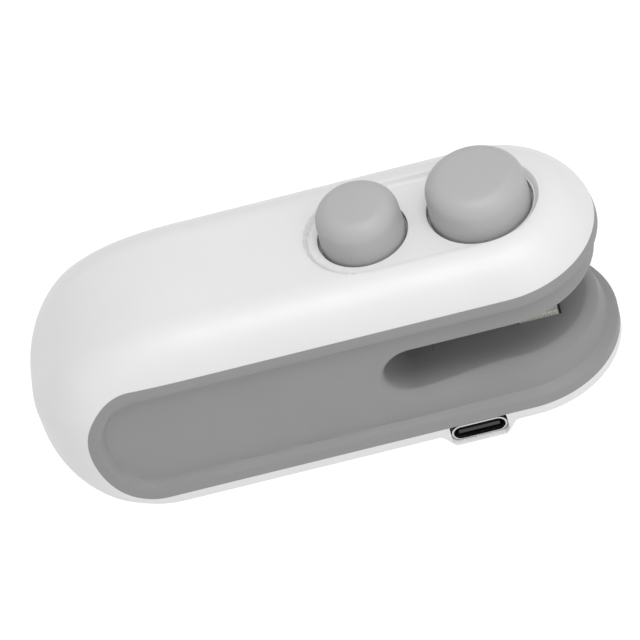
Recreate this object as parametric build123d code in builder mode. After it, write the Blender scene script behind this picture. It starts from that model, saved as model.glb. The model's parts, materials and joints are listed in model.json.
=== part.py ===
"""Handheld mini bag sealer: a pebble-shaped battery tool that welds and cuts plastic bags in its side mouth.

Frame: +X toward the mouth end, -Y the side with the charging socket, +Z up. The origin is the bottom
centre of the whole sealer, so z = 0 is the flat underside of the socket pod. Units are millimetres.
"""

import os

from build123d import *

os.makedirs("parts", exist_ok=True)

# Body envelope
LENGTH = 93.0
WIDTH = 33.2
UNDERSIDE = 2.9
TOP = 35.6
EDGE = 8.2
POD_INSET = 0.05
CUT_OVERRUN = 0.8
KEEL_SINK = 0.03
WALL = 1.8
HALF = LENGTH / 2
MIDDLE = (UNDERSIDE + TOP) / 2
FLOOR = UNDERSIDE + WALL

# Side window that the gray frame fills, seen from the side
WINDOW_LOW = 5.0
WINDOW_HIGH = 29.4
WINDOW_REAR = -29.2
WINDOW_NOSE = 9.5
SEAM = (WINDOW_LOW + WINDOW_HIGH) / 2
RIM = 1.8
PANEL_DEPTH = 0.9

# Mouth
SLOT_FLOOR = 13.0
SLOT_CEILING = 22.4
SLOT_REAR = 8.6
JAW_WALL = 1.6
BRIDGE_REAR = 3.0
BRIDGE_LOW = SLOT_FLOOR - JAW_WALL
BRIDGE_HIGH = SLOT_CEILING + JAW_WALL

# Buttons
SEAL_X = 29.3
CUT_X = 10.7
SEAL_CAP = 8.0
CUT_CAP = 6.75
CAP_GAP = 0.45
CAP_TOP = 41.6
CAP_ROUND = 3.0
CAP_WALL = 1.4
DISH_FLOOR = 34.7
DISH_MARGIN = 2.0
DISH_FADE = 0.6
DISH_SLOPE = 30
FLANGE_TOP = 33.5
FLANGE_LOW = 32.3
FLANGE_LIP = 1.25
STEM = 2.4
SEAL_STROKE = 4.4
CUT_STROKE = 6.0

# Heater and press head
HEATER_X = 33.9
HEATER_HALF_WIDTH = 3.6
HEATER_HALF_LENGTH = 5.8
HEATER_BASE_TOP = 13.5
HEATER_TOP = 13.9
STRIP_HALF_WIDTH = 1.2
STRIP_THICK = 0.15
CLIP_WIDTH = 0.4
CLOTH_THICK = 0.4
PRESS_GAP = 4.5
PRESS_HALF_LENGTH = 5.7
PRESS_HALF_WIDTH = 3.4
PAD_THICK = 1.6
SLIDE_GAP = 0.3

# Cutter
BLADE_X = 14.6
BLADE_THICK = 0.5
BLADE_TIP = 18.8
BLADE_SHOULDER = 20.6
BLADE_ROOT = 27.0
BLADE_HALF = 4.4
CARRIER_HALF_WIDTH = 2.2
CARRIER_HALF_LENGTH = 5.0
CARRIER_LOW = 23.0
PIN_Z = 25.4
PIN_RADIUS = 0.8
GUARD_LOW = 18.3
GUARD_WALL = 1.2
MAT_HALF_WIDTH = 2.0
MAT_HALF_LENGTH = 7.0
MAT_THICK = 0.8
SLIT_HALF_WIDTH = 0.55

# Return springs
SPRING_WIRE = 0.22
SEAL_SPRING_X = 23.6
SEAL_SPRING_RADIUS = 2.2
CUT_SPRING_X = 6.0
CUT_SPRING_RADIUS = 2.0
SPRING_PITCH = 1.5
PEG_RADIUS = 1.3
STOP_ROOM = 0.3

# Charging socket in its pod
POD_X = 20.7
POD_FLAT = 8.8
POD_BASE = 12.7
POD_BLEND = 1.6
PORT_Z = 2.6
PORT_WIDTH = 8.34
PORT_HEIGHT = 2.56
PORT_SHEET = 0.3
PORT_LENGTH = 7.3
PORT_SETBACK = 0.7
PORT_MARGIN = 0.1
TONGUE_WIDTH = 6.6
TONGUE_THICK = 0.7
FOOT_PITCH = 3.0
FOOT_LENGTH = 1.0

# Board, cell and wiring
BOARD_LOW = 4.75
BOARD_TOP = 5.75
BOARD_REAR = 7.0
BOARD_FRONT = 36.0
BOARD_LEFT = 9.6
BOARD_RIGHT = -13.0
CELL_RADIUS = 8.25
CELL_REAR = -35.0
CELL_FRONT = -1.0
CELL_Z = 19.2
CELL_TAB = 0.3
CRADLE_REAR = -29.0
CRADLE_FRONT = -7.0
CRADLE_HALF = 6.8
POST_RADIUS = 2.6
POSTS = [(-2.5, -12.6), (-2.5, 12.6), (40.2, -6.0), (40.2, 6.0)]
SCREW_RADIUS = 1.0
SCREW_HEAD = 2.0
SCREW_SEAT = 4.0
SCREW_END = 9.9
LEAD_RADIUS = 0.5
HEATER_LEAD_Y = 4.4
LEAD_SPREAD = 2.5
LEAD_DROP_X = 0.9
LEAD_BEND = 2.6
LEAD_LAND_X = 9.0
CHIP_CORNER = 0.3
SWITCH_X = 27.0
SWITCH_Y = 6.8
SWITCH_SIDE = 3.4
SWITCH_HEIGHT = 2.9
SWITCH_NUB = 0.6

# Parts soldered on the board: name, centre, length, width and height
BOARD_PARTS = [
    ("charge_chip", (14.5, -7.5), (4.9, 3.9, 1.2)),
    ("timer_chip", (25.0, 4.5), (4.0, 4.0, 0.9)),
    ("power_coil", (14.5, 5.0), (4.2, 4.2, 2.2)),
    ("charge_lamp", (30.5, -12.0), (2.0, 1.2, 0.8)),
    ("buffer_capacitor", (21.5, -5.5), (3.2, 2.5, 1.6)),
]


def block(inset, rear_round):
    """The straight-sided blank of the body: a side outline with a full-round rear, cut by a plan outline."""
    low, high = UNDERSIDE + inset, TOP - inset
    radius = (high - low) / 2
    side = WIDTH / 2 - inset
    rear, front = -HALF + inset, HALF - inset
    with BuildPart() as blank:
        with BuildSketch(Plane.XZ):
            with Locations((rear + radius, MIDDLE)):
                Circle(radius)
            with Locations(((rear + radius + front) / 2, MIDDLE)):
                Rectangle(front - rear - radius, high - low)
        extrude(amount=side, both=True)
        with BuildSketch(Plane.XY.offset(low)):
            with Locations((front - side, 0)):
                Circle(side)
            with Locations(((rear + front - side) / 2, 0)):
                Rectangle(front - side - rear, 2 * side)
            if rear_round:
                with Locations(((rear + front) / 2, 0)):
                    SlotOverall(front - rear, 2 * side, mode=Mode.INTERSECT)
        extrude(amount=high - low, mode=Mode.INTERSECT)
    return blank.part


def envelope(inset):
    """The pebble: edges rounded all round, with a square-edged keel that fades into the round rear."""
    blank = block(inset, rear_round=False)
    keel_blank = block(inset + KEEL_SINK, rear_round=True)
    with BuildPart() as keel:
        add(keel_blank)
        split(bisect_by=Plane.XY.offset(MIDDLE), keep=Keep.BOTTOM)
    with BuildPart() as pebble:
        add(blank)
        fillet(
            pebble.edges() - pebble.edges().filter_by(Axis.Y) - pebble.edges().filter_by(Axis.Z),
            radius=EDGE - inset,
        )
        add(keel.part)
    return pebble.part


def side_outline(rear, nose, low, high, ahead=LENGTH):
    """A prism right through the width whose side outline has an elliptical rear and runs on ahead."""
    middle = (low + high) / 2
    with BuildPart() as prism:
        with BuildSketch(Plane.XZ):
            with Locations((rear, middle)):
                Ellipse(nose, (high - low) / 2)
            with Locations(((rear + ahead) / 2, middle)):
                Rectangle(ahead - rear, high - low)
        extrude(amount=WIDTH, both=True)
    return prism.part


def mouth_prism(growth):
    """The mouth opening through the whole width, with a round rear, larger by growth on every side."""
    radius = (SLOT_CEILING - SLOT_FLOOR) / 2 + growth
    return side_outline(
        SLOT_REAR - growth + radius, radius, SLOT_FLOOR - growth, SLOT_CEILING + growth
    )


def finish(piece, name):
    """Label a finished piece and write it."""
    piece.part.label = name
    export_step(piece.part, "parts/" + name + ".step")


outer = envelope(0)
inner = envelope(WALL)
panel_surface = envelope(PANEL_DEPTH)
frame_window = side_outline(WINDOW_REAR, WINDOW_NOSE, WINDOW_LOW, WINDOW_HIGH)
panel_window = side_outline(
    WINDOW_REAR, WINDOW_NOSE - RIM, WINDOW_LOW + RIM, WINDOW_HIGH - RIM
)
mouth = mouth_prism(0)
mouth_surround = mouth_prism(RIM)

# ---------------------------------------------------------------- housing
with BuildPart() as upper_shell:
    add(outer)
    add(inner, mode=Mode.SUBTRACT)
    add(frame_window, mode=Mode.SUBTRACT)
    split(bisect_by=Plane.XY.offset(SEAM), keep=Keep.TOP)
    # Shallow depression round both buttons, with a sloping wall that is tighter at the large one
    with BuildSketch(Plane.XY.offset(DISH_FLOOR)):
        with Locations((CUT_X, 0)):
            Circle(CUT_CAP + CAP_GAP + DISH_MARGIN)
        with Locations((SEAL_X, 0)):
            Circle(SEAL_CAP + CAP_GAP + DISH_FADE)
        with Locations(((CUT_X + SEAL_X) / 2, 0)):
            Rectangle(SEAL_X - CUT_X, 2 * (CUT_CAP + CAP_GAP + DISH_MARGIN))
    extrude(amount=TOP - DISH_FLOOR + CUT_OVERRUN, taper=-DISH_SLOPE, mode=Mode.SUBTRACT)
    with BuildSketch(Plane.XY.offset(SEAM)):
        with Locations((SEAL_X, 0)):
            Circle(SEAL_CAP + CAP_GAP)
        with Locations((CUT_X, 0)):
            Circle(CUT_CAP + CAP_GAP)
    extrude(amount=LENGTH, mode=Mode.SUBTRACT)
finish(upper_shell, "upper_shell")

with BuildPart() as lower_shell:
    add(outer)
    # Socket pod: a bar across the belly with sloping ends
    with BuildSketch(Plane.XZ.offset(-WIDTH / 2 + POD_INSET)) as pod_end:
        with BuildLine():
            Polyline(
                (POD_X - POD_BASE / 2, FLOOR),
                (POD_X - POD_BASE / 2, UNDERSIDE),
                (POD_X - POD_FLAT / 2, 0),
                (POD_X + POD_FLAT / 2, 0),
                (POD_X + POD_BASE / 2, UNDERSIDE),
                (POD_X + POD_BASE / 2, FLOOR),
                close=True,
            )
        make_face()
        fillet(pod_end.vertices().group_by(Axis.Y)[0], radius=POD_BLEND)
    extrude(amount=WIDTH - 2 * POD_INSET)
    add(inner, mode=Mode.SUBTRACT)
    add(frame_window, mode=Mode.SUBTRACT)
    split(bisect_by=Plane.XY.offset(SEAM), keep=Keep.BOTTOM)
    # Bay for the socket, open above the port
    with BuildSketch(Plane.XZ.offset(WIDTH / 2)):
        with Locations((POD_X, PORT_Z)):
            SlotOverall(
                PORT_WIDTH + 2 * (PORT_SHEET + PORT_MARGIN),
                PORT_HEIGHT + 2 * (PORT_SHEET + PORT_MARGIN),
            )
        with Locations((POD_X, (PORT_Z + BOARD_LOW) / 2)):
            Rectangle(PORT_WIDTH + 2 * (PORT_SHEET + PORT_MARGIN), BOARD_LOW - PORT_Z)
    extrude(amount=-PORT_LENGTH - PORT_SETBACK - FOOT_LENGTH, mode=Mode.SUBTRACT)
    # Sunk holes for the four housing screws
    with Locations(*[Location((x, y, UNDERSIDE - KEEL_SINK), (180, 0, 0)) for x, y in POSTS]):
        CounterBoreHole(SCREW_RADIUS + PORT_MARGIN, SCREW_HEAD + PORT_MARGIN,
                        SCREW_SEAT - UNDERSIDE + KEEL_SINK, depth=WALL + 2 * KEEL_SINK)
finish(lower_shell, "lower_shell")

with BuildPart() as cavity:
    add(inner)
    with BuildSketch(Plane.XZ):
        with Locations(((BRIDGE_REAR + LENGTH) / 2, (BRIDGE_LOW + BRIDGE_HIGH) / 2)):
            Rectangle(LENGTH - BRIDGE_REAR, BRIDGE_HIGH - BRIDGE_LOW)
    extrude(amount=WIDTH, both=True, mode=Mode.SUBTRACT)
    with BuildSketch(Plane.XY):
        with Locations(*POSTS):
            Circle(POST_RADIUS)
    extrude(amount=SLOT_FLOOR, mode=Mode.SUBTRACT)

with BuildPart() as panel_skin:
    add(outer)
    add(panel_surface, mode=Mode.SUBTRACT)
    add(panel_window, mode=Mode.INTERSECT)
    add(mouth_surround, mode=Mode.SUBTRACT)

with BuildPart() as mid_frame:
    add(outer)
    add(frame_window, mode=Mode.INTERSECT)
    add(cavity.part, mode=Mode.SUBTRACT)
    add(panel_skin.part, mode=Mode.SUBTRACT)
    add(mouth, mode=Mode.SUBTRACT)
    # Guard that hangs from the upper jaw round the blade
    with BuildSketch(Plane.XY.offset(GUARD_LOW)):
        with Locations((BLADE_X, 0)):
            RectangleRounded(
                2 * (CARRIER_HALF_WIDTH + SLIDE_GAP + GUARD_WALL),
                2 * (CARRIER_HALF_LENGTH + SLIDE_GAP + GUARD_WALL),
                GUARD_WALL,
            )
    extrude(amount=BRIDGE_HIGH - GUARD_LOW)
    # Pegs for the two return springs, which also stop the flanges at the end of their strokes
    for peg_x, stroke in ((SEAL_SPRING_X, SEAL_STROKE), (CUT_SPRING_X, CUT_STROKE)):
        with BuildSketch(Plane.XY.offset(BRIDGE_HIGH)):
            with Locations((peg_x, 0)):
                Circle(PEG_RADIUS)
        extrude(amount=FLANGE_LOW - stroke - STOP_ROOM - BRIDGE_HIGH)
    # Guide openings for the blade carrier and for the press head
    with BuildSketch(Plane.XY.offset(SLOT_FLOOR + PRESS_GAP / 2)):
        with Locations((BLADE_X, 0)):
            Rectangle(2 * (CARRIER_HALF_WIDTH + SLIDE_GAP), 2 * (CARRIER_HALF_LENGTH + SLIDE_GAP))
        with Locations((HEATER_X, 0)):
            Rectangle(2 * (PRESS_HALF_WIDTH + SLIDE_GAP), 2 * (PRESS_HALF_LENGTH + SLIDE_GAP))
    extrude(amount=BRIDGE_HIGH + JAW_WALL - SLOT_FLOOR, mode=Mode.SUBTRACT)
    # Well for the cutting mat, and holes for the heater leads
    with BuildSketch(Plane.XY.offset(SLOT_FLOOR - MAT_THICK)):
        with Locations((BLADE_X, 0)):
            Rectangle(2 * MAT_HALF_WIDTH, 2 * MAT_HALF_LENGTH)
    extrude(amount=MAT_THICK, mode=Mode.SUBTRACT)
    with BuildSketch(Plane.XY.offset(BRIDGE_LOW)):
        with Locations((HEATER_X, -HEATER_LEAD_Y), (HEATER_X, HEATER_LEAD_Y)):
            Circle(LEAD_RADIUS + PORT_MARGIN)
    extrude(amount=JAW_WALL, mode=Mode.SUBTRACT)
    # Screw bores in the four posts
    with BuildSketch(Plane.XY):
        with Locations(*POSTS):
            Circle(SCREW_RADIUS)
    extrude(amount=SCREW_END, mode=Mode.SUBTRACT)
finish(mid_frame, "mid_frame")


# ---------------------------------------------------------------- buttons
def button(x, radius):
    """A hollow push button with a retaining flange and a centre stem."""
    with BuildPart() as cap:
        with BuildSketch(Plane.XY.offset(FLANGE_LOW)):
            with Locations((x, 0)):
                Circle(radius + FLANGE_LIP)
        extrude(amount=FLANGE_TOP - FLANGE_LOW)
        with BuildSketch(Plane.XY.offset(FLANGE_LOW)):
            with Locations((x, 0)):
                Circle(radius)
        extrude(amount=CAP_TOP - FLANGE_LOW)
        fillet(cap.faces().sort_by(Axis.Z)[-1].edges(), radius=CAP_ROUND)
        with BuildSketch(Plane.XY.offset(FLANGE_LOW)):
            with Locations((x, 0)):
                Circle(radius - CAP_WALL)
                Circle(STEM, mode=Mode.SUBTRACT)
        extrude(amount=CAP_TOP - CAP_ROUND - FLANGE_LOW, mode=Mode.SUBTRACT)
    return cap


seal_button = button(SEAL_X, SEAL_CAP)
finish(seal_button, "seal_button")
cut_button = button(CUT_X, CUT_CAP)
finish(cut_button, "cut_button")

# ---------------------------------------------------------------- press head
PAD_LOW = HEATER_TOP + PRESS_GAP
with BuildPart() as seal_plunger:
    with BuildSketch(Plane.XY.offset(PAD_LOW + PAD_THICK)):
        with Locations((HEATER_X, 0)):
            Rectangle(2 * PRESS_HALF_WIDTH, 2 * PRESS_HALF_LENGTH)
    extrude(amount=FLANGE_LOW - PAD_LOW - PAD_THICK)
    fillet(seal_plunger.edges().filter_by(Axis.Z), radius=SLIDE_GAP)
finish(seal_plunger, "seal_plunger")

with BuildPart() as press_pad:
    with BuildSketch(Plane.XY.offset(PAD_LOW)):
        with Locations((HEATER_X, 0)):
            Rectangle(2 * PRESS_HALF_WIDTH, 2 * PRESS_HALF_LENGTH)
    extrude(amount=PAD_THICK)
    fillet(press_pad.faces().sort_by(Axis.Z)[0].edges(), radius=SLIDE_GAP)
finish(press_pad, "press_pad")

# ---------------------------------------------------------------- cutter
with BuildPart() as cutter_blade:
    with BuildSketch(Plane.YZ.offset(BLADE_X - BLADE_THICK / 2)):
        with BuildLine():
            Polyline(
                (-BLADE_HALF, BLADE_ROOT),
                (-BLADE_HALF, BLADE_SHOULDER),
                (0, BLADE_TIP),
                (BLADE_HALF, BLADE_SHOULDER),
                (BLADE_HALF, BLADE_ROOT),
                close=True,
            )
        make_face()
        with Locations((0, PIN_Z)):
            Circle(PIN_RADIUS, mode=Mode.SUBTRACT)
    extrude(amount=BLADE_THICK)
finish(cutter_blade, "cutter_blade")

with BuildPart() as blade_carrier:
    with BuildSketch(Plane.XY.offset(CARRIER_LOW)):
        with Locations((BLADE_X, 0)):
            Rectangle(2 * CARRIER_HALF_WIDTH, 2 * CARRIER_HALF_LENGTH)
    extrude(amount=FLANGE_LOW - CARRIER_LOW)
    with BuildSketch(Plane.XY.offset(CARRIER_LOW)):
        with Locations((BLADE_X, 0)):
            Rectangle(BLADE_THICK, 2 * BLADE_HALF)
    extrude(amount=BLADE_ROOT - CARRIER_LOW, mode=Mode.SUBTRACT)
    with BuildSketch(Plane.YZ.offset(BLADE_X - CARRIER_HALF_WIDTH)):
        with Locations((0, PIN_Z)):
            Circle(PIN_RADIUS)
    extrude(amount=2 * CARRIER_HALF_WIDTH, mode=Mode.SUBTRACT)
finish(blade_carrier, "blade_carrier")

with BuildPart() as blade_pin:
    with BuildSketch(Plane.YZ.offset(BLADE_X - CARRIER_HALF_WIDTH)):
        with Locations((0, PIN_Z)):
            Circle(PIN_RADIUS)
    extrude(amount=2 * CARRIER_HALF_WIDTH)
finish(blade_pin, "blade_pin")

with BuildPart() as cutting_mat:
    with BuildSketch(Plane.XY.offset(SLOT_FLOOR - MAT_THICK)):
        with Locations((BLADE_X, 0)):
            Rectangle(2 * MAT_HALF_WIDTH, 2 * MAT_HALF_LENGTH)
            SlotOverall(
                2 * (CARRIER_HALF_LENGTH + SLIDE_GAP), 2 * SLIT_HALF_WIDTH, rotation=90, mode=Mode.SUBTRACT
            )
    extrude(amount=MAT_THICK)
finish(cutting_mat, "cutting_mat")


# ---------------------------------------------------------------- return springs
def spring(x, radius):
    """A coil spring between the upper jaw and the flange of a button."""
    low = BRIDGE_HIGH + SPRING_WIRE
    with BuildPart() as coil:
        with BuildLine():
            turns = Helix(SPRING_PITCH, FLANGE_LOW - SPRING_WIRE - low, radius, center=(x, 0, low))
        with BuildSketch(Plane(turns @ 0, z_dir=turns % 0)):
            Circle(SPRING_WIRE)
        sweep(is_frenet=True)
    return coil


seal_spring = spring(SEAL_SPRING_X, SEAL_SPRING_RADIUS)
finish(seal_spring, "seal_spring")
cut_spring = spring(CUT_SPRING_X, CUT_SPRING_RADIUS)
finish(cut_spring, "cut_spring")

# ---------------------------------------------------------------- heater on the lower jaw
STRIP_HALF_LENGTH = HEATER_HALF_LENGTH - 2 * CLOTH_THICK
with BuildPart() as heater_base:
    with BuildSketch(Plane.XY.offset(SLOT_FLOOR)):
        with Locations((HEATER_X, 0)):
            Rectangle(2 * (HEATER_HALF_WIDTH - CLIP_WIDTH), 2 * (HEATER_HALF_LENGTH - CLOTH_THICK))
    extrude(amount=HEATER_BASE_TOP - SLOT_FLOOR)
    with BuildSketch(Plane.XY.offset(HEATER_BASE_TOP - STRIP_THICK)):
        with Locations((HEATER_X, 0)):
            Rectangle(2 * STRIP_HALF_WIDTH, 2 * STRIP_HALF_LENGTH)
    extrude(amount=STRIP_THICK, mode=Mode.SUBTRACT)
finish(heater_base, "heater_base")

with BuildPart() as heater_strip:
    with BuildSketch(Plane.XY.offset(HEATER_BASE_TOP - STRIP_THICK)):
        with Locations((HEATER_X, 0)):
            Rectangle(2 * STRIP_HALF_WIDTH, 2 * STRIP_HALF_LENGTH)
    extrude(amount=STRIP_THICK)
finish(heater_strip, "heater_strip")

# Cloth folded over the base and down its two end faces
with BuildPart() as heater_cloth:
    with BuildSketch(Plane.XY.offset(SLOT_FLOOR)):
        with Locations((HEATER_X, 0)):
            Rectangle(2 * (HEATER_HALF_WIDTH - CLIP_WIDTH), 2 * HEATER_HALF_LENGTH)
    extrude(amount=HEATER_TOP - SLOT_FLOOR)
    fillet(heater_cloth.faces().sort_by(Axis.Z)[-1].edges().filter_by(Axis.X), radius=SLIDE_GAP)
    with BuildSketch(Plane.XY.offset(SLOT_FLOOR)):
        with Locations((HEATER_X, 0)):
            Rectangle(2 * (HEATER_HALF_WIDTH - CLIP_WIDTH), 2 * (HEATER_HALF_LENGTH - CLOTH_THICK))
    extrude(amount=HEATER_BASE_TOP - SLOT_FLOOR, mode=Mode.SUBTRACT)
finish(heater_cloth, "heater_cloth")

for number, side in enumerate((-1, 1), start=1):
    with BuildPart() as heater_clip:
        with BuildSketch(Plane.XY.offset(SLOT_FLOOR)):
            with Locations((HEATER_X + side * (HEATER_HALF_WIDTH - CLIP_WIDTH / 2), 0)):
                Rectangle(CLIP_WIDTH, 2 * HEATER_HALF_LENGTH)
        extrude(amount=HEATER_TOP - SLOT_FLOOR)
        fillet(heater_clip.edges().filter_by(Axis.Z), radius=CLIP_WIDTH / 3)
    finish(heater_clip, f"heater_clip_{number}")

    with BuildPart() as heater_lead:
        with BuildSketch(Plane.XY.offset(BOARD_TOP)):
            with Locations((HEATER_X, side * HEATER_LEAD_Y)):
                Circle(LEAD_RADIUS)
        extrude(amount=SLOT_FLOOR - BOARD_TOP)
    finish(heater_lead, f"heater_lead_{number}")

# ---------------------------------------------------------------- charging socket
with BuildPart() as usb_shell:
    with BuildSketch(Plane.XZ.offset(WIDTH / 2 - PORT_SETBACK)):
        with Locations((POD_X, PORT_Z)):
            SlotOverall(PORT_WIDTH + 2 * PORT_SHEET, PORT_HEIGHT + 2 * PORT_SHEET)
            SlotOverall(PORT_WIDTH, PORT_HEIGHT, mode=Mode.SUBTRACT)
    extrude(amount=-PORT_LENGTH)
    # Solder feet that stand the shell under the board
    with BuildSketch(Plane.XY.offset(PORT_Z + PORT_HEIGHT / 2 + PORT_SHEET / 2)):
        with Locations((POD_X, BOARD_RIGHT + FOOT_PITCH)):
            with GridLocations(PORT_WIDTH / 2, FOOT_PITCH, 2, 2):
                Rectangle(2 * PORT_SHEET, FOOT_LENGTH)
    extrude(amount=BOARD_LOW - PORT_Z - PORT_HEIGHT / 2 - PORT_SHEET / 2)
finish(usb_shell, "usb_shell")

with BuildPart() as usb_tongue:
    with BuildSketch(Plane.XZ.offset(WIDTH / 2 - PORT_SETBACK - PORT_LENGTH + 1)):
        with Locations((POD_X, PORT_Z)):
            SlotOverall(PORT_WIDTH, PORT_HEIGHT)
    extrude(amount=-1)
    with BuildSketch(Plane.XZ.offset(WIDTH / 2 - PORT_SETBACK - PORT_SHEET)):
        with Locations((POD_X, PORT_Z)):
            Rectangle(TONGUE_WIDTH, TONGUE_THICK)
    extrude(amount=-PORT_LENGTH + 1)
finish(usb_tongue, "usb_tongue")

# ---------------------------------------------------------------- control board
with BuildPart() as control_board:
    with BuildSketch(Plane.XY.offset(BOARD_LOW)):
        with Locations(((BOARD_REAR + BOARD_FRONT) / 2, (BOARD_LEFT + BOARD_RIGHT) / 2)):
            RectangleRounded(BOARD_FRONT - BOARD_REAR, BOARD_LEFT - BOARD_RIGHT, 1)
    extrude(amount=BOARD_TOP - BOARD_LOW)
finish(control_board, "control_board")

for name, (x, y), (length, width, height) in BOARD_PARTS:
    with BuildPart() as board_part:
        with BuildSketch(Plane.XY.offset(BOARD_TOP)):
            with Locations((x, y)):
                RectangleRounded(length, width, CHIP_CORNER)
        extrude(amount=height)
    finish(board_part, name)

with BuildPart() as seal_switch:
    with BuildSketch(Plane.XY.offset(BRIDGE_HIGH)):
        with Locations((SWITCH_X, SWITCH_Y)):
            RectangleRounded(SWITCH_SIDE, SWITCH_SIDE, CHIP_CORNER)
    extrude(amount=SWITCH_HEIGHT)
    with BuildSketch(Plane.XY.offset(BRIDGE_HIGH + SWITCH_HEIGHT)):
        with Locations((SWITCH_X, SWITCH_Y)):
            Circle(SWITCH_SIDE / 4)
    extrude(amount=SWITCH_NUB)
finish(seal_switch, "seal_switch")

# ---------------------------------------------------------------- cell
with BuildPart() as battery_cell:
    with BuildSketch(Plane.YZ.offset(CELL_REAR)):
        with Locations((0, CELL_Z)):
            Circle(CELL_RADIUS)
    extrude(amount=CELL_FRONT - CELL_REAR)
    fillet(battery_cell.edges().filter_by(GeomType.CIRCLE), radius=SLIDE_GAP)
finish(battery_cell, "battery_cell")

for name, x in (("cell_tab_rear", CELL_REAR - CELL_TAB), ("cell_tab_front", CELL_FRONT)):
    with BuildPart() as cell_tab:
        with BuildSketch(Plane.YZ.offset(x)):
            with Locations((0, CELL_Z)):
                RectangleRounded(CELL_RADIUS, CELL_RADIUS, 1)
        extrude(amount=CELL_TAB)
    finish(cell_tab, name)

with BuildPart() as battery_cradle:
    with BuildSketch(Plane.XY.offset(FLOOR)):
        with Locations(((CRADLE_REAR + CRADLE_FRONT) / 2, 0)):
            Rectangle(CRADLE_FRONT - CRADLE_REAR, 2 * CRADLE_HALF)
            Rectangle(CRADLE_FRONT - CRADLE_REAR - 4 * WALL, 2 * CRADLE_HALF - 4 * WALL, mode=Mode.SUBTRACT)
    extrude(amount=CELL_Z - CELL_RADIUS / 2 - FLOOR)
    with BuildSketch(Plane.YZ.offset(CRADLE_REAR)):
        with Locations((0, CELL_Z)):
            Circle(CELL_RADIUS)
    extrude(amount=CRADLE_FRONT - CRADLE_REAR, mode=Mode.SUBTRACT)
finish(battery_cradle, "battery_cradle")

# Leads that drop from the front tab to the board
for name, side in (("lead_positive", 1), ("lead_negative", -1)):
    with BuildPart() as lead:
        with BuildLine():
            FilletPolyline(
                (CELL_FRONT + CELL_TAB, side * LEAD_SPREAD, CELL_Z),
                (LEAD_DROP_X, side * LEAD_SPREAD, CELL_Z),
                (LEAD_DROP_X, side * LEAD_SPREAD, BOARD_TOP + LEAD_BEND),
                (LEAD_LAND_X, side * LEAD_SPREAD, BOARD_TOP + LEAD_BEND),
                (LEAD_LAND_X, side * LEAD_SPREAD, BOARD_TOP),
                radius=LEAD_RADIUS * 1.6,
            )
        with BuildSketch(Plane.YZ.offset(CELL_FRONT + CELL_TAB)):
            with Locations((side * LEAD_SPREAD, CELL_Z)):
                Circle(LEAD_RADIUS)
        sweep()
    finish(lead, name)

# ---------------------------------------------------------------- housing screws
for number, (x, y) in enumerate(POSTS, start=1):
    with BuildPart() as screw:
        with BuildSketch(Plane.XY.offset(UNDERSIDE + PORT_MARGIN)):
            with Locations((x, y)):
                Circle(SCREW_HEAD)
                RegularPolygon(SCREW_RADIUS, 6, mode=Mode.SUBTRACT)
        extrude(amount=SCREW_SEAT - UNDERSIDE - PORT_MARGIN)
        with BuildSketch(Plane.XY.offset((UNDERSIDE + SCREW_SEAT) / 2)):
            with Locations((x, y)):
                Circle(SCREW_RADIUS)
        extrude(amount=SCREW_END - (UNDERSIDE + SCREW_SEAT) / 2)
    finish(screw, f"housing_screw_{number}")
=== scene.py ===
"""Handheld mini bag sealer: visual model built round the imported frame.

Shapes are worked out in millimetres in the frame's axes (+X mouth end, -Y socket side, +Z up)
and written into the meshes in metres.
"""

import json
import math

import bmesh
import bpy
import numpy as np
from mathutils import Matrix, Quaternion, Vector


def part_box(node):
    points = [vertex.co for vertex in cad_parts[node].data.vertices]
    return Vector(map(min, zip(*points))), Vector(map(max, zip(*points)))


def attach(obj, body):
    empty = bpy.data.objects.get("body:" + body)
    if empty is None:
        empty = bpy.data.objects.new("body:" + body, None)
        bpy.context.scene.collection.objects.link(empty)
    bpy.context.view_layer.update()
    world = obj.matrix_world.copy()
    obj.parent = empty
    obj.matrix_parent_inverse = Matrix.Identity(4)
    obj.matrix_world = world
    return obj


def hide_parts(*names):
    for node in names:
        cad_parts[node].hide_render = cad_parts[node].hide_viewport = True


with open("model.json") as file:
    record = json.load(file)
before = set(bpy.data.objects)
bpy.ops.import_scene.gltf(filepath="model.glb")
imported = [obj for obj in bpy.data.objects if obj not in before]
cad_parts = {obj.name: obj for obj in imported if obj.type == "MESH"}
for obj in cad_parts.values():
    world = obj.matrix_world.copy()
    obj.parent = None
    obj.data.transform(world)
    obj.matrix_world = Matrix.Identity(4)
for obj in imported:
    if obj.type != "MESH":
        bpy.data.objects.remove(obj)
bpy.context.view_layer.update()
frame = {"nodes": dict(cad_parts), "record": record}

MM = 0.001


def mm_box(node):
    """Lowest and highest corner of a CAD node in millimetres."""
    low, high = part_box(node)
    return np.array(low) / MM, np.array(high) / MM


# ------------------------------------------------------------------ driving sizes, in millimetres
shell_high = mm_box("upper_shell")[1]
base_low = mm_box("lower_shell")[0]
frame_low, frame_high = mm_box("mid_frame")
seal_low, seal_high = mm_box("seal_button")
cut_low, cut_high = mm_box("cut_button")
port_low, port_high = mm_box("usb_shell")
plunger_low, plunger_high = mm_box("seal_plunger")
carrier_low, carrier_high = mm_box("blade_carrier")

HALF_WIDTH = frame_high[1]
FRONT = frame_high[0]
REAR = -FRONT
TOP = shell_high[2]
POD_DEPTH = 2.9
POD_LOW = base_low[2]
UNDERSIDE = POD_LOW + POD_DEPTH
WINDOW_LOW = frame_low[2]
WINDOW_HIGH = frame_high[2]
WINDOW_MIDDLE = (WINDOW_LOW + WINDOW_HIGH) / 2
WINDOW_NOSE = 9.5
WINDOW_REAR = frame_low[0] + WINDOW_NOSE
EDGE = 8.2
EDGE_REAR = 10.66
HEEL = 0.8
HEEL_REAR = 6.82
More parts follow.
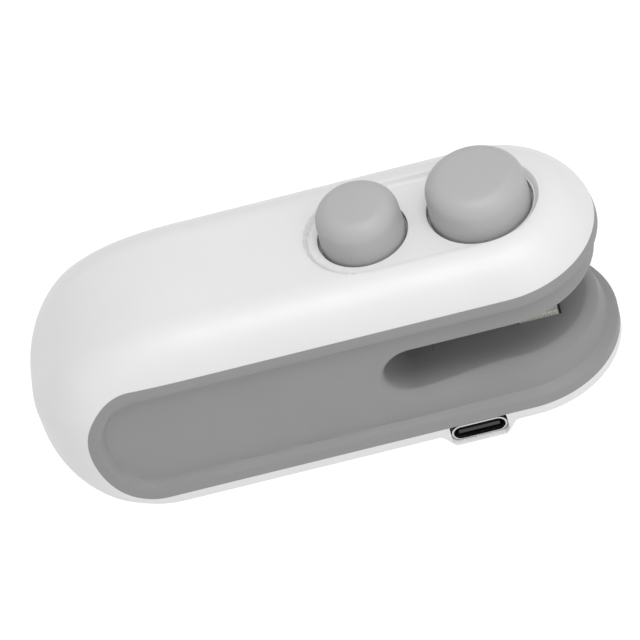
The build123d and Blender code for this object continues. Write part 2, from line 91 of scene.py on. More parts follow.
# Rear rounding of width, of height above the waist and of depth below it: where each starts, and its power
WIDE_LAW = (-34.87, 2.132)
TALL_LAW = (-17.92, 2.151)
DEEP_LAW = (-26.58, 1.963)
MORPH_START = -27.9
MOUTH_CENTRE = FRONT - HALF_WIDTH
WAIST = WINDOW_MIDDLE
TOP_WALL = 1.5
LOWER_WALL = 0.7
FRAME_WALL = 1.3
RIM = 1.8
PANEL_DEPTH = 1.3
PANEL_HALF = HALF_WIDTH - PANEL_DEPTH
PANEL_SOFT = 1.2
JAW_DRAFT = 1.5
JAW_DRAFT_REACH = 6.0
JAW_DRAFT_FADE = 14.0
SLOT_LOW = 13.0
SLOT_HIGH = 22.4
SLOT_MIDDLE = (SLOT_LOW + SLOT_HIGH) / 2
SLOT_RADIUS = (SLOT_HIGH - SLOT_LOW) / 2
SLOT_REAR = 8.6
SLOT_END = SLOT_REAR + SLOT_RADIUS
SLOT_EDGE = 1.5
SLOT_EDGE_UPPER = 0.7
SEAL_X = (seal_low[0] + seal_high[0]) / 2
CUT_X = (cut_low[0] + cut_high[0]) / 2
SEAL_RADIUS = 8.0
CUT_RADIUS = 6.75
GAP = 0.42
DISH_FLOOR = 34.7
DISH_MARGIN = 2.2
DISH_LIP = 0.9
POD_X = (port_low[0] + port_high[0]) / 2
POD_REACH = 6.4
POD_SLOPE = 2.6
BAY_ROOM_BELOW = 0.25
BAY_ROOM_SIDE = 0.12
BAY_OVERRUN = 0.4
BAY_CORNER = 1.15
BAY_DEPTH_LIMIT = -15
SCREW_HOLE = 2.12
CAP_EDGE = 2.9
CAP_DOME = 0.42
CAP_DRAFT = 0.18
CAP_SKIRT = 1.2
GUARD_TOP = 22.6
GUARD_ROOM = 0.5

QUARTER = math.pi / 2 * HALF_WIDTH


# ------------------------------------------------------------------ mesh helpers
def mesh_piece(name, points, faces, material, body="housing", smooth=40):
    """A new object from points in millimetres and faces; edges sharper than smooth degrees stay sharp."""
    mesh = bpy.data.meshes.new(name)
    mesh.from_pydata((np.asarray(points, float) * MM).tolist(), [], np.asarray(faces).tolist())
    mesh.validate()
    piece = bpy.data.objects.new(name, mesh)
    bpy.context.scene.collection.objects.link(piece)
    mesh.polygons.foreach_set("use_smooth", np.ones(len(mesh.polygons), bool))
    mesh.set_sharp_from_angle(angle=math.radians(smooth))
    mesh.materials.append(material)
    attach(piece, body)
    return piece


def grid_faces(rows, columns, wrap_rows=False, wrap_columns=False, flip=False):
    """Quads over a rows x columns grid of points, optionally closed on itself either way."""
    row = np.arange(rows if wrap_rows else rows - 1)
    column = np.arange(columns if wrap_columns else columns - 1)
    a, b = np.meshgrid(row, column, indexing="ij")
    a2, b2 = (a + 1) % rows, (b + 1) % columns
    corners = [a * columns + b, a2 * columns + b, a2 * columns + b2, a * columns + b2]
    quads = np.stack(corners, -1).reshape(-1, 4)
    return quads[:, ::-1] if flip else quads


def weld(piece, distance=0.004):
    """Merge points that coincide, drop the slivers this leaves, and turn every face outwards."""
    work = bmesh.new()
    work.from_mesh(piece.data)
    bmesh.ops.remove_doubles(work, verts=work.verts, dist=distance * MM)
    bmesh.ops.dissolve_degenerate(work, dist=distance * MM / 4, edges=work.edges)
    bmesh.ops.recalc_face_normals(work, faces=work.faces)
    work.to_mesh(piece.data)
    work.free()


def settle(piece, smooth=35):
    """Apply a piece's modifiers into its mesh and mark its sharp edges."""
    bpy.context.view_layer.update()
    depsgraph = bpy.context.evaluated_depsgraph_get()
    mesh = bpy.data.meshes.new_from_object(piece.evaluated_get(depsgraph))
    piece.modifiers.clear()
    piece.data = mesh
    mesh.polygons.foreach_set("use_smooth", np.ones(len(mesh.polygons), bool))
    mesh.set_sharp_from_angle(angle=math.radians(smooth))


def thicken(piece, thickness):
    """Give an open skin its wall, inwards."""
    wall = piece.modifiers.new("wall", "SOLIDIFY")
    wall.thickness = thickness * MM
    wall.offset = -1
    wall.use_even_offset = False
    wall.use_quality_normals = True


def cut_away(piece, cutters):
    """Subtract closed cutter objects from a piece, then remove the cutters."""
    for cutter in cutters:
        cut = piece.modifiers.new("cut", "BOOLEAN")
        cut.operation = "DIFFERENCE"
        cut.solver = "EXACT"
        cut.object = cutter
    settle(piece)
    for cutter in cutters:
        bpy.data.objects.remove(cutter)


def punch(piece, outline, axis, limit):
    """Open a hole in a skin: slice it along every side of a convex outline, then drop the faces inside.

    Only faces that lie below limit along the axis are touched. The outline runs anticlockwise in the two
    other axes.
    """
    others = [i for i in range(3) if i != axis]
    centre, reach = outline.mean(0), np.ptp(outline, axis=0).max()
    sides = list(zip(outline, np.roll(outline, -1, axis=0)))
    work = bmesh.new()
    work.from_mesh(piece.data)

    def spot(face):
        middle = face.calc_center_median() / MM
        return np.array([middle[i] for i in others]), middle[axis]

    def near(face):
        place, depth = spot(face)
        return depth < limit and np.abs(place - centre).max() < reach

    def within(face):
        place = spot(face)[0]
        return all((end[0] - start[0]) * (place[1] - start[1]) > (end[1] - start[1]) * (place[0] - start[0])
                   for start, end in sides)

    faces = [face for face in work.faces if near(face)]
    edges = {edge for face in faces for edge in face.edges}
    corners = {corner for face in faces for corner in face.verts}
    sliced = [*faces, *edges, *corners]
    for start, end in sides:
        place, normal = np.zeros(3), np.zeros(3)
        place[others] = start * MM
        normal[others] = (end[1] - start[1], start[0] - end[0])
        sliced = bmesh.ops.bisect_plane(work, geom=sliced, dist=1e-7, plane_co=place, plane_no=normal)["geom"]
    inside = [item for item in sliced if isinstance(item, bmesh.types.BMFace) and within(item)]
    bmesh.ops.delete(work, geom=inside, context="FACES")
    work.to_mesh(piece.data)
    work.free()


def prism_cutter(outline, low, high, axis=2):
    """A closed prism on a convex outline (n x 2 points) between two levels along an axis."""
    count = len(outline)
    ring = np.zeros((2 * count, 3))
    others = [i for i in range(3) if i != axis]
    ring[:, others] = np.vstack([outline, outline])
    ring[:count, axis] = low
    ring[count:, axis] = high
    side = [[i, (i + 1) % count, count + (i + 1) % count, count + i] for i in range(count)]
    faces = side + [list(range(count))[::-1], list(range(count, 2 * count))]
    mesh = bpy.data.meshes.new("cutter")
    mesh.from_pydata((ring * MM).tolist(), [], faces)
    cutter = bpy.data.objects.new("cutter", mesh)
    bpy.context.scene.collection.objects.link(cutter)
    weld(cutter)
    return cutter


def circle_outline(x, y, radius, count=160):
    """Points of a circle, evenly spaced."""
    angle = np.linspace(0, 2 * math.pi, count, endpoint=False)
    return np.stack([x + radius * np.cos(angle), y + radius * np.sin(angle)], 1)


def rounded_outline(x, y, half_x, half_y, radius, count=10):
    """Points of a rectangle with round corners."""
    angle = np.linspace(0, math.pi / 2, count)
    corners = [(1, 1, 0), (-1, 1, 1), (-1, -1, 2), (1, -1, 3)]
    points = [
        np.stack([x + sx * (half_x - radius) + radius * np.cos(angle + turn * math.pi / 2),
                  y + sy * (half_y - radius) + radius * np.sin(angle + turn * math.pi / 2)], 1)
        for sx, sy, turn in corners
    ]
    return np.vstack(points)


def ease(value):
    """Smooth step from 0 to 1."""
    t = np.clip(value, 0, 1)
    return t * t * (3 - 2 * t)


# ------------------------------------------------------------------ the body surface
def taper(x, start, power):
    """Superellipse law: 1 ahead of start, falling to 0 at the rear tip."""
    t = np.clip((start - x) / (start - REAR), 0, 1)
    return (1 - t**power) ** (1 / power)


def body_section(x):
    """Scale of width, scale above the waist, scale below it, top edge radius and bottom edge radius at x."""
    morph = ease((MORPH_START - x) / (MORPH_START - REAR))
    return (
        taper(x, *WIDE_LAW),
        taper(x, *TALL_LAW),
        taper(x, *DEEP_LAW),
        EDGE + (EDGE_REAR - EDGE) * morph,
        HEEL + (HEEL_REAR - HEEL) * morph,
    )


def section_width(x, z):
    """Half width of the body at height z on the section at x: a flat side with round top and bottom edges."""
    wide, tall, deep, edge, heel = body_section(x)
    lift = z - WAIST
    z = WAIST + np.where(lift > 0, lift / np.maximum(tall, 1e-6), lift / np.maximum(deep, 1e-6))
    upper = np.clip(z - (TOP - edge), 0, edge)
    lower = np.clip((UNDERSIDE + heel) - z, 0, heel)
    inset = edge - np.sqrt(edge**2 - upper**2) + heel - np.sqrt(heel**2 - lower**2)
    return wide * (HALF_WIDTH - inset)


def section_height(x, y, top=True):
    """Height of the top (or bottom) of the body at a distance y from the centre plane at x."""
    wide, tall, deep, edge, heel = body_section(x)
    y = np.abs(y) / np.maximum(wide, 1e-6)
    radius, scale, end = (edge, tall, TOP) if top else (heel, deep, UNDERSIDE)
    over = np.clip(y - (HALF_WIDTH - radius), 0, radius)
    drop = radius - np.sqrt(radius**2 - over**2)
    z = end - drop if top else end + drop
    return WAIST + (z - WAIST) * scale


def along(path):
    """Station x, bearing, and whether the side is straight there, for a path that is 0 at the mouth tip."""
    straight = np.abs(path) > QUARTER
    x = np.where(straight, MOUTH_CENTRE - (np.abs(path) - QUARTER), MOUTH_CENTRE)
    bearing = np.clip(path, -QUARTER, QUARTER) / HALF_WIDTH
    return x, bearing, straight


def wrap(path, radius, z):
    """Points at a distance radius from the spine: straight sides, and a half turn round the mouth end."""
    x, bearing, straight = along(path)
    px = x + np.where(straight, 0, radius * np.cos(bearing))
    py = np.where(straight, np.sign(path) * radius, radius * np.sin(bearing))
    return np.stack([px, py, z + 0 * px], -1)


def window_edge(x, top=True):
    """Height of the frame window's edge at x, with its elliptical rear end."""
    t = np.clip((WINDOW_REAR - x) / WINDOW_NOSE, 0, 1)
    reach = (WINDOW_HIGH - WINDOW_LOW) / 2 * np.sqrt(1 - t**2)
    return WINDOW_MIDDLE + (reach if top else -reach)


def stations(step=0.42, mouth=120):
    """Path coordinates from the mouth tip to the rear tip, closer together where the outline turns."""
    turn = np.linspace(0, QUARTER, mouth)
    straight = np.arange(QUARTER + step, QUARTER + MOUTH_CENTRE - WINDOW_REAR, step)
    start = QUARTER + MOUTH_CENTRE - WINDOW_REAR
    angle = np.linspace(0, math.pi / 2, 60)
    nose = start + WINDOW_NOSE * np.sin(angle)
    tail_start = start + WINDOW_NOSE
    tail_length = QUARTER + MOUTH_CENTRE - REAR - tail_start
    tail = tail_start + tail_length * np.sin(np.linspace(0, math.pi / 2, 45))[1:]
    return np.concatenate([turn, straight, nose, tail])


# ------------------------------------------------------------------ materials
def tree(name):
    """A new material with its node tree and shader."""
    material = bpy.data.materials.new(name)
    material.use_nodes = True
    nodes, links = material.node_tree.nodes, material.node_tree.links
    return material, nodes, links, nodes["Principled BSDF"]


def noise(nodes, links, coordinates, scale, detail=3.0, rough=0.55):
    """A noise texture on object coordinates."""
    texture = nodes.new("ShaderNodeTexNoise")
    texture.inputs["Scale"].default_value = scale
    texture.inputs["Detail"].default_value = detail
    texture.inputs["Roughness"].default_value = rough
    links.new(coordinates, texture.inputs["Vector"])
    return texture.outputs["Fac"]


def ramp(nodes, links, value, low, high, low_at=0.3, high_at=0.7):
    """A colour ramp between two colours (or two gray levels)."""
    node = nodes.new("ShaderNodeValToRGB")
    for stop, at, colour in zip(node.color_ramp.elements, (low_at, high_at), (low, high)):
        stop.position = at
        stop.color = (*colour, 1) if hasattr(colour, "__len__") else (colour, colour, colour, 1)
    links.new(value, node.inputs["Fac"])
    return node.outputs["Color"]


def moulded(name, colour, rough, grain=2600.0, relief=0.02, mottle=0.03, coat=0.0, specular=0.5,
            scatter=0.0):
    """Moulded plastic: fine spark-eroded grain, faint long mottle, and a gloss that varies a little."""
    material, nodes, links, shader = tree(name)
    place = nodes.new("ShaderNodeTexCoord").outputs["Object"]
    soft = noise(nodes, links, place, 90.0, 2.0)
    fine = noise(nodes, links, place, grain, 2.0, 0.6)
    shade = [tuple(c * (1 + side * mottle) for c in colour) for side in (-1, 1)]
    links.new(ramp(nodes, links, soft, shade[0], shade[1]), shader.inputs["Base Color"])
    links.new(ramp(nodes, links, noise(nodes, links, place, 220.0, 4.0), rough * 0.92, rough * 1.08),
              shader.inputs["Roughness"])
    bump = nodes.new("ShaderNodeBump")
    bump.inputs["Strength"].default_value = 0.35
    bump.inputs["Distance"].default_value = relief * MM
    links.new(fine, bump.inputs["Height"])
    links.new(bump.outputs["Normal"], shader.inputs["Normal"])
    shader.inputs["Coat Weight"].default_value = coat
    shader.inputs["Coat Roughness"].default_value = 0.25
    shader.inputs["Specular IOR Level"].default_value = specular
    if scatter:
        shader.inputs["Subsurface Weight"].default_value = scatter
        shader.inputs["Subsurface Radius"].default_value = (0.0012, 0.0011, 0.001)
        shader.inputs["Subsurface Scale"].default_value = 1.0
    return material


def ground_metal(name, colour, rough, stretch=(400.0, 8000.0, 400.0)):
    """Plated or ground steel: fine lines along one direction and small differences in gloss."""
    material, nodes, links, shader = tree(name)
    mapping = nodes.new("ShaderNodeMapping")
    mapping.inputs["Scale"].default_value = stretch
    links.new(nodes.new("ShaderNodeTexCoord").outputs["Object"], mapping.inputs["Vector"])
    lines = noise(nodes, links, mapping.outputs["Vector"], 1.0, 3.0)
    links.new(ramp(nodes, links, lines, rough * 0.7, rough * 1.3), shader.inputs["Roughness"])
    links.new(ramp(nodes, links, lines, tuple(c * 0.93 for c in colour), colour), shader.inputs["Base Color"])
    bump = nodes.new("ShaderNodeBump")
    bump.inputs["Strength"].default_value = 0.15
    bump.inputs["Distance"].default_value = 0.01 * MM
    links.new(lines, bump.inputs["Height"])
    links.new(bump.outputs["Normal"], shader.inputs["Normal"])
    shader.inputs["Metallic"].default_value = 1.0
    return material


def woven(name, warp, weft, pitch=0.42):
    """Plain-woven glass cloth: crossing yarns as two wave patterns, over and under by turns."""
    material, nodes, links, shader = tree(name)
    place = nodes.new("ShaderNodeTexCoord").outputs["Object"]
    waves = []
    for axis in ("X", "Y"):
        wave = nodes.new("ShaderNodeTexWave")
        wave.bands_direction = axis
        wave.inputs["Scale"].default_value = 2 * math.pi / (20 * pitch * MM)
        wave.inputs["Distortion"].default_value = 0.25
        wave.inputs["Detail Scale"].default_value = 900.0
        links.new(place, wave.inputs["Vector"])
        waves.append(wave.outputs["Fac"])
    checker = nodes.new("ShaderNodeTexChecker")
    checker.inputs["Scale"].default_value = 1 / (pitch * MM)
    links.new(place, checker.inputs["Vector"])
    mix = nodes.new("ShaderNodeMix")
    links.new(checker.outputs["Fac"], mix.inputs["Factor"])
    links.new(waves[0], mix.inputs["A"])
    links.new(waves[1], mix.inputs["B"])
    links.new(ramp(nodes, links, mix.outputs["Result"], warp, weft, 0.15, 0.85), shader.inputs["Base Color"])
    bump = nodes.new("ShaderNodeBump")
    bump.inputs["Strength"].default_value = 0.9
    bump.inputs["Distance"].default_value = 0.08 * MM
    links.new(mix.outputs["Result"], bump.inputs["Height"])
    links.new(bump.outputs["Normal"], shader.inputs["Normal"])
    shader.inputs["Roughness"].default_value = 0.62
    return material


def clear_lamp(name):
    """Clear lamp resin with a faint milky cloud."""
    material, nodes, links, shader = tree(name)
    place = nodes.new("ShaderNodeTexCoord").outputs["Object"]
    cloud = noise(nodes, links, place, 900.0, 3.0)
    links.new(ramp(nodes, links, cloud, (0.8, 0.82, 0.85), (0.95, 0.96, 0.98)), shader.inputs["Base Color"])
    links.new(ramp(nodes, links, cloud, 0.08, 0.2), shader.inputs["Roughness"])
    shader.inputs["Transmission Weight"].default_value = 0.7
    return material


white = moulded("shell white", (0.69, 0.69, 0.69), 0.40, grain=3200.0, relief=0.012, mottle=0.008, coat=0.05,
                scatter=0.08)
gray = moulded("frame gray", (0.25, 0.25, 0.253), 0.52, grain=2600.0, relief=0.03, mottle=0.02, specular=0.4)
cap_gray = moulded("cap gray", (0.395, 0.395, 0.40), 0.48, grain=2600.0, relief=0.03, mottle=0.02,
                   specular=0.45)
inner_white = moulded("inner plastic", (0.62, 0.62, 0.61), 0.5, relief=0.03)
silicone = moulded("silicone", (0.58, 0.57, 0.53), 0.6, grain=1500.0, relief=0.05, specular=0.35, scatter=0.1)
mat_rubber = moulded("mat rubber", (0.25, 0.25, 0.253), 0.7, grain=1500.0, relief=0.05, specular=0.3)
black = moulded("black plastic", (0.018, 0.018, 0.019), 0.38, relief=0.03)
mask = moulded("solder mask", (0.02, 0.14, 0.06), 0.3, grain=1800.0, relief=0.02, coat=0.4)
wrap_film = moulded("cell wrap", (0.05, 0.12, 0.36), 0.28, grain=700.0, relief=0.03, coat=0.3)
red_wire = moulded("red insulation", (0.5, 0.02, 0.02), 0.42, relief=0.03)
black_wire = moulded("black insulation", (0.02, 0.02, 0.02), 0.42, relief=0.03)
steel = ground_metal("plated steel", (0.58, 0.58, 0.57), 0.26)
blade_steel = ground_metal("blade steel", (0.66, 0.67, 0.69), 0.2, (9000.0, 500.0, 300.0))
cloth = woven("glass cloth", (0.52, 0.50, 0.44), (0.82, 0.80, 0.75))
lamp = clear_lamp("lamp clear")

FINISHES = {
    "white_shell": white, "gray_frame": gray, "button_gray": cap_gray, "silicone": silicone,
    "inner_plastic": inner_white, "mat_gray": mat_rubber, "blade_steel": blade_steel, "steel": steel,
    "glass_cloth": cloth, "black_plastic": black, "board_green": mask, "lamp_clear": lamp, "cell_wrap": wrap_film,
    "wire_red": red_wire, "wire_black": black_wire,
}
for part in frame["record"]["subparts"]:
    mesh = frame["nodes"][part["node"]].data
    mesh.materials.clear()
    mesh.materials.append(FINISHES[part["material_slot"]])


# ------------------------------------------------------------------ white shells
def button_dish(x, y, z):
    """Sinks the top to a level floor inside a stadium round the buttons, with an eased lip."""
    spine = np.clip(x, CUT_X, SEAL_X)
    reach = CUT_RADIUS + GAP + DISH_MARGIN
    inside = reach - np.hypot(x - spine, y)
    return z - np.maximum(z - DISH_FLOOR, 0) * ease(inside / DISH_LIP)


def make_upper_shell():
    """Swept skin: each station's section runs from the crown, over the round edge, to the frame's edge.

    A point is (path, t): the section's height falls from the crown to the window edge, and its width follows
    the body; across the flat crown the points are spread by width instead.
    """
    path = stations()
    x, _, straight = along(path)
    edge_z = np.where(x > WINDOW_REAR - WINDOW_NOSE, window_edge(x), WINDOW_MIDDLE)
    edge_z = np.where(straight, edge_z, WINDOW_HIGH)
    edge_z = np.minimum(edge_z, section_height(x, 0 * x))
    edge_y = section_width(x, edge_z)
    edge_y[-1] = 0
    flat = np.linspace(0, 1, 44)
    wide, tall, _, edge, _ = body_section(x)
    shoulder = np.maximum(wide * (HALF_WIDTH - edge), 0)
    crown_y = flat[None, :] * shoulder[:, None]
    arc = np.linspace(0, math.pi / 2, 30)[1:]
    # Round edge as an arc in the unscaled section, cut at the window edge
    stretch = np.maximum(tall, 1e-6)
    edge_raw = WAIST + (edge_z - WAIST) / stretch
    low_turn = np.arccos(np.clip((edge_raw - (TOP - edge)) / edge, 0, 1))
    turn = arc[None, :] / (math.pi / 2) * low_turn[:, None]
    arc_y = wide[:, None] * (HALF_WIDTH - edge[:, None] + edge[:, None] * np.sin(turn))
    arc_z = WAIST + (TOP - edge[:, None] + edge[:, None] * np.cos(turn) - WAIST) * tall[:, None]
    # Flat side below the round edge, down to the window edge
    drop = np.linspace(0, 1, 9)[1:]
    side_z = arc_z[:, -1:] + (edge_z[:, None] - arc_z[:, -1:]) * drop[None, :]
    side_y = np.repeat(arc_y[:, -1:], len(drop), 1)
    crown_z = section_height(x[:, None], crown_y)
    y = np.hstack([crown_y, arc_y, side_y])
    z = np.hstack([crown_z, arc_z, side_z])
    z[-1, :], y[-1, :] = WAIST, 0
    return skin("top_shell", path, y, z, lift=button_dish)


def skin(name, path, y, z, lift=None):
    """Both halves of a swept skin, welded along the centre plane."""
    pieces = []
    for side in (-1, 1):
        points = wrap(side * path[:, None] + 0 * y, y, z)
        points[0, :, 1] = 0
        if lift is not None:
            points[..., 2] = lift(points[..., 0], points[..., 1], points[..., 2])
        pieces.append(points.reshape(-1, 3))
    count = len(pieces[0])
    faces = grid_faces(*y.shape)
    faces = np.vstack([faces, faces[:, ::-1] + count])
    piece = mesh_piece(name, np.vstack(pieces), faces, white)
    weld(piece)
    return piece


def make_lower_shell():
    """Swept skin from the frame's lower edge, round the bottom edge, to the centre of the underside.

    Where the socket pod is, the strip and the underside are stretched down by an eased bar.
    """
    path = stations(step=0.3)
    x, _, straight = along(path)
    edge_z = np.where(x > WINDOW_REAR - WINDOW_NOSE, window_edge(x, top=False), WINDOW_MIDDLE)
    edge_z = np.where(straight, edge_z, WINDOW_LOW)
    wide, _, deep, _, heel = body_section(x)
    stretch = np.maximum(deep, 1e-6)
    edge_raw = WAIST + (np.minimum(edge_z, WAIST) - WAIST) / stretch
    share = np.linspace(0, 1, 16)[None, :]
    begin_low = np.arcsin(np.clip((UNDERSIDE + heel - edge_raw) / heel, 0, 1))[:, None]
    turn = begin_low + (math.pi / 2 - begin_low) * share
    arc_y = wide[:, None] * (HALF_WIDTH - heel[:, None] + heel[:, None] * np.cos(turn))
    arc_z = WAIST + (UNDERSIDE + heel[:, None] - heel[:, None] * np.sin(turn) - WAIST) * deep[:, None]
    drop = np.linspace(0, 1, 9)[:-1]
    side_z = edge_z[:, None] + (arc_z[:, :1] - edge_z[:, None]) * drop[None, :]
    side_y = np.repeat(arc_y[:, :1], len(drop), 1)
    belly = np.linspace(1, 0, 24)[1:]
    belly_y = arc_y[:, -1:] * belly[None, :]
    belly_z = np.repeat(arc_z[:, -1:], len(belly), 1)
    y = np.hstack([side_y, arc_y, belly_y])
    z = np.hstack([side_z, arc_z, belly_z])
    z[-1, :], y[-1, :] = WAIST, 0
    return skin("bottom_shell", path, y, z, lift=socket_pod)


def socket_pod(x, y, z):
    """Stretches what lies below the frame down to the pod's flat, with eased ends."""
    rise = ease((POD_REACH - np.abs(x - POD_X)) / POD_SLOPE)
    share = np.clip((WINDOW_LOW - z) / (WINDOW_LOW - UNDERSIDE), 0, 1)
    return z - rise * POD_DEPTH * share


top_shell = make_upper_shell()
thicken(top_shell, TOP_WALL)
cut_away(top_shell, [
    prism_cutter(circle_outline(SEAL_X, 0, SEAL_RADIUS + GAP), 28, 45),
    prism_cutter(circle_outline(CUT_X, 0, CUT_RADIUS + GAP), 28, 45),
])
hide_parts("upper_shell")

bottom_shell = make_lower_shell()
bay_low = port_low[2] - BAY_ROOM_BELOW
bay = rounded_outline(
    POD_X, (bay_low + WINDOW_LOW) / 2 + BAY_OVERRUN, (port_high[0] - port_low[0]) / 2 + BAY_ROOM_SIDE,
    (WINDOW_LOW - bay_low) / 2 + BAY_OVERRUN, BAY_CORNER, count=5,
)
punch(bottom_shell, bay, axis=1, limit=BAY_DEPTH_LIMIT)
for number in range(1, 5):
    screw_low, screw_high = mm_box(f"housing_screw_{number}")
    screw_x, screw_y = ((screw_low + screw_high) / 2)[:2]
    hole = circle_outline(screw_x, screw_y, SCREW_HOLE, 24)
    punch(bottom_shell, hole, axis=2, limit=UNDERSIDE + 0.5)
thicken(bottom_shell, LOWER_WALL)
settle(bottom_shell)
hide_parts("lower_shell")


# ------------------------------------------------------------------ gray frame
SLOT_PATH = QUARTER + MOUTH_CENTRE - SLOT_END
NOSE_PATH = QUARTER + MOUTH_CENTRE - WINDOW_REAR


def frame_rings(mouth=70, straight=36, rear=150, across=46):
    """Path and height of a net between the slot's edge and the window's edge, over half of the frame.

    Along the jaws the net's lines stand upright. Behind the slot they fan out from its round end to the
    window's rear, each end moving at an even pace.
    """
    jaw = np.concatenate([np.linspace(0, QUARTER, mouth), np.linspace(QUARTER, SLOT_PATH, straight)[1:]])
    turn = np.linspace(math.pi / 2, -math.pi / 2, rear + 2)[1:-1]
    slot_fan = np.stack([SLOT_PATH + SLOT_RADIUS * np.cos(turn), SLOT_MIDDLE + SLOT_RADIUS * np.sin(turn)], 1)
    half = (WINDOW_HIGH - WINDOW_LOW) / 2
    nose_turn = np.linspace(math.pi / 2, -math.pi / 2, 200)
    nose = np.stack([NOSE_PATH + WINDOW_NOSE * np.cos(nose_turn),
                     WINDOW_MIDDLE + half * np.sin(nose_turn)], 1)
    line = np.vstack([[SLOT_PATH, WINDOW_HIGH], nose, [SLOT_PATH, WINDOW_LOW]])
    run = np.concatenate([[0], np.cumsum(np.hypot(*np.diff(line, axis=0).T))])
    pace = np.linspace(0, run[-1], rear + 2)[1:-1]
    window_fan = np.stack([np.interp(pace, run, line[:, 0]), np.interp(pace, run, line[:, 1])], 1)
    slot_edge = np.vstack([np.stack([jaw, 0 * jaw + SLOT_HIGH], 1), slot_fan,
                           np.stack([jaw[::-1], 0 * jaw + SLOT_LOW], 1)])
    window_line = np.vstack([np.stack([jaw, 0 * jaw + WINDOW_HIGH], 1), window_fan,
                             np.stack([jaw[::-1], 0 * jaw + WINDOW_LOW], 1)])
    share = np.linspace(0, 1, across)
    share = share - 0.13 * np.sin(2 * math.pi * share)
    net = slot_edge[:, None] + (window_line - slot_edge)[:, None] * share[None, :, None]
    return net[..., 0], net[..., 1]


def frame_width(path, z):
    """Half width of the frame's skin: flush rim, soft step to the panel, lower jaw drawn in at the slot.

    The slot's edge itself is half chamfer, half round.
    """
    x, _, straight = along(path)
    flush = section_width(np.where(straight, x, MOUTH_CENTRE), z)
    behind = np.maximum(np.abs(path) - NOSE_PATH, 0)
    half = (WINDOW_HIGH - WINDOW_LOW) / 2
    reach = np.hypot(behind / WINDOW_NOSE, (z - WINDOW_MIDDLE) / half)
    slope = np.hypot(behind / WINDOW_NOSE**2, (z - WINDOW_MIDDLE) / half**2) + 1e-9
    to_window = np.where(behind > 0, (1 - reach) * reach / slope,
                         np.minimum(WINDOW_HIGH - z, z - WINDOW_LOW))
    to_slot = np.hypot(np.maximum(np.abs(path) - SLOT_PATH, 0), z - SLOT_MIDDLE) - SLOT_RADIUS
    sunk = ease((to_window - RIM) / PANEL_SOFT)
    fade = ease((SLOT_PATH - np.abs(path)) / JAW_DRAFT_FADE)
    lower = ease((SLOT_HIGH - z) / (SLOT_HIGH - SLOT_LOW))
    draft = JAW_DRAFT * fade * lower * np.clip(1 - to_slot / JAW_DRAFT_REACH, 0, 1)
    width = flush - np.maximum(flush - PANEL_HALF + draft, 0) * sunk
    edge = SLOT_EDGE_UPPER + (SLOT_EDGE - SLOT_EDGE_UPPER) * lower
    near = np.clip(edge - to_slot, 0, edge)
    round_drop = edge - np.sqrt(edge**2 - near**2)
    return width - (near + round_drop) / 2


def make_frame():
    """The frame's skin on both sides and round the mouth, joined by the lining of the slot."""
    path, z = frame_rings()
    width = frame_width(path, z)
    rows, columns = path.shape
    sides = [wrap(side * path, width, z) for side in (-1, 1)]
    for points in sides:
        points[0, :, 1] = points[-1, :, 1] = 0
    across = np.linspace(0, 1, 24)[:, None, None]
    lining = sides[0][None, :, 0] * (1 - across) + sides[1][None, :, 0] * across
    skin_faces = grid_faces(rows, columns)
    count = rows * columns
    faces = [skin_faces, skin_faces[:, ::-1] + count, grid_faces(len(across), rows) + 2 * count]
    points = np.vstack([sides[0].reshape(-1, 3), sides[1].reshape(-1, 3), lining.reshape(-1, 3)])
    piece = mesh_piece("side_frame", points, np.vstack(faces), gray)
    weld(piece)
    return piece


def guide_cutter(low, high, room=0.3):
    """A prism round a sliding part that leaves running room."""
    centre, half = (low + high) / 2, (high - low) / 2
    return prism_cutter(rounded_outline(centre[0], centre[1], half[0] + room, half[1] + room, 0.6), 20, 26)


def make_guard():
    """A rounded collar under the upper jaw round the blade: an outline swept down, out and back up."""
    centre, half = (carrier_low + carrier_high) / 2, (carrier_high - carrier_low) / 2
    low = mm_box("cutter_blade")[0][2] - GUARD_ROOM
    profile = [(0.3, GUARD_TOP), (0.3, low + 0.3), (0.42, low + 0.08), (0.7, low), (1.2, low),
               (1.42, low + 0.1),
               (1.5, low + 0.3), (1.55, 21.9), (1.9, 22.35), (2.2, GUARD_TOP)]
    rings = []
    for grow, level in profile:
        ring = rounded_outline(centre[0], centre[1], half[0] + grow, half[1] + grow, 0.6 + grow)
        rings.append(np.column_stack([ring, np.full(len(ring), level)]))
    points = np.vstack(rings)
    faces = grid_faces(len(profile), len(rings[0]), wrap_rows=True, wrap_columns=True)
    piece = mesh_piece("blade_guard", points, faces, gray)
    weld(piece)
    return piece


side_frame = make_frame()
thicken(side_frame, FRAME_WALL)
mat_high = mm_box("cutting_mat")[1]
cut_away(side_frame, [
    guide_cutter(carrier_low, carrier_high),
    guide_cutter(plunger_low, plunger_high),
    prism_cutter(rounded_outline(mat_high[0] - 2, 0, 2.04, mat_high[1] + 0.04, 0.05), 10, 14),
])
make_guard()
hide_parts("mid_frame")


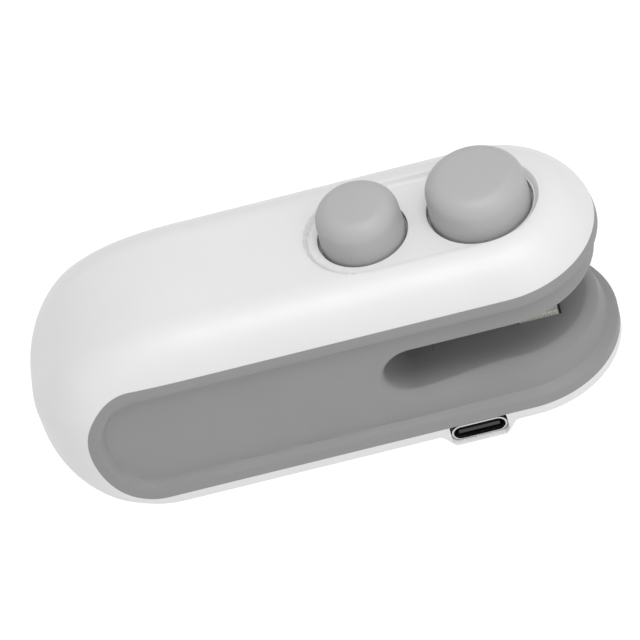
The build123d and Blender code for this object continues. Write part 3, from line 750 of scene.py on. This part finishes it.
# ------------------------------------------------------------------ buttons
def make_cap(name, low, high, radius, body):
    """A turned cap: slightly domed crown, wide round edge, side with a little draft, and a flange below."""
    centre = (low + high) / 2
    crown, floor = high[2], low[2]
    edge = CAP_EDGE
    across = np.linspace(0, radius - edge, 26)
    dome = crown - CAP_DOME * (across / radius) ** 2
    turn = np.linspace(0, math.pi / 2, 26)[1:]
    corner_r = radius - edge + edge * np.sin(turn) - CAP_DRAFT
    corner_z = dome[-1] - edge + edge * np.cos(turn)
    side_z = np.linspace(corner_z[-1], floor + CAP_SKIRT, 16)[1:]
    side_r = corner_r[-1] + CAP_DRAFT * (corner_z[-1] - side_z) / (corner_z[-1] - floor - CAP_SKIRT)
    flange = [(radius + 1.15, floor + CAP_SKIRT), (radius + 1.25, floor + 1.1), (radius + 1.25, floor + 0.1),
              (radius + 1.15, floor), (radius - 1.4, floor), (radius - 1.5, floor + 0.1),
              (radius - 1.6, crown - edge), (0, crown - edge)]
    r = np.concatenate([across, corner_r, side_r, [p[0] for p in flange]])
    z = np.concatenate([dome, corner_z, side_z, [p[1] for p in flange]])
    angle = np.linspace(0, 2 * math.pi, 144, endpoint=False)
    points = np.stack([centre[0] + r[:, None] * np.cos(angle), centre[1] + r[:, None] * np.sin(angle),
                       np.repeat(z[:, None], len(angle), 1)], -1)
    piece = mesh_piece(name, points.reshape(-1, 3), grid_faces(len(r), len(angle), wrap_columns=True),
                       cap_gray, body=body)
    weld(piece)
    return piece


large_cap = make_cap("large_cap", seal_low, seal_high, SEAL_RADIUS, "seal_head")
small_cap = make_cap("small_cap", cut_low, cut_high, CUT_RADIUS, "cutter")
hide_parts("seal_button")
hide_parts("cut_button")


# ------------------------------------------------------------------ camera and light
AZIMUTH, ELEVATION, ROLL = math.radians(5.1), math.radians(45), math.radians(17.55)
DISTANCE = 0.572
LENS = 204.5
AIM = Vector((0.00042, -0.00018, 0.01878))
back = Vector((math.sin(AZIMUTH) * math.cos(ELEVATION), -math.cos(AZIMUTH) * math.cos(ELEVATION),
               math.sin(ELEVATION)))
camera_data = bpy.data.cameras.new("camera")
camera_data.lens = LENS
camera_data.sensor_width = 36
camera_data.clip_start, camera_data.clip_end = 0.05, 20
camera = bpy.data.objects.new("camera", camera_data)
bpy.context.scene.collection.objects.link(camera)
camera.location = AIM + back * DISTANCE
camera.rotation_mode = "QUATERNION"
camera.rotation_quaternion = (-back).to_track_quat("-Z", "Y") @ Quaternion((0, 0, 1), -ROLL)
bpy.context.scene.camera = camera

bpy.ops.mesh.primitive_plane_add(size=6, location=(0, 0, -0.0002))
floor = bpy.context.object
floor.name = "floor"
floor_material, *_, floor_shader = tree("floor paper")
floor_shader.inputs["Base Color"].default_value = (0.1, 0.1, 0.1, 1)
floor_shader.inputs["Roughness"].default_value = 0.9
floor_shader.inputs["Emission Color"].default_value = (1, 1, 1, 1)
floor_shader.inputs["Emission Strength"].default_value = 0.96
floor.data.materials.append(floor_material)


def area_light(name, place, aim, size, power):
    """A square studio light at a place, facing a point."""
    data = bpy.data.lights.new(name, "AREA")
    data.size = size
    data.energy = power
    light = bpy.data.objects.new(name, data)
    bpy.context.scene.collection.objects.link(light)
    light.location = place
    light.rotation_mode = "QUATERNION"
    light.rotation_quaternion = (Vector(aim) - Vector(place)).to_track_quat("-Z", "Y")
    return light


area_light("key", (0.12, -0.22, 0.85), (0, 0, 0.02), 0.5, 3.8)
area_light("fill", (0.45, -0.6, 0.4), (0, 0, 0.02), 0.7, 1.3)

# A soft sky, darker toward the horizon, so the round sides fall off
world = bpy.data.worlds.new("studio")
world.use_nodes = True
sky_nodes, sky_links = world.node_tree.nodes, world.node_tree.links
sky_place = sky_nodes.new("ShaderNodeTexCoord")
sky_split = sky_nodes.new("ShaderNodeSeparateXYZ")
sky_links.new(sky_place.outputs["Generated"], sky_split.inputs["Vector"])
sky_links.new(ramp(sky_nodes, sky_links, sky_split.outputs["Z"], 0.5, 1.0, 0.0, 0.9),
              sky_nodes["Background"].inputs["Color"])
sky_nodes["Background"].inputs["Strength"].default_value = 0.75
bpy.context.scene.world = world
bpy.context.scene.view_settings.view_transform = "Standard"
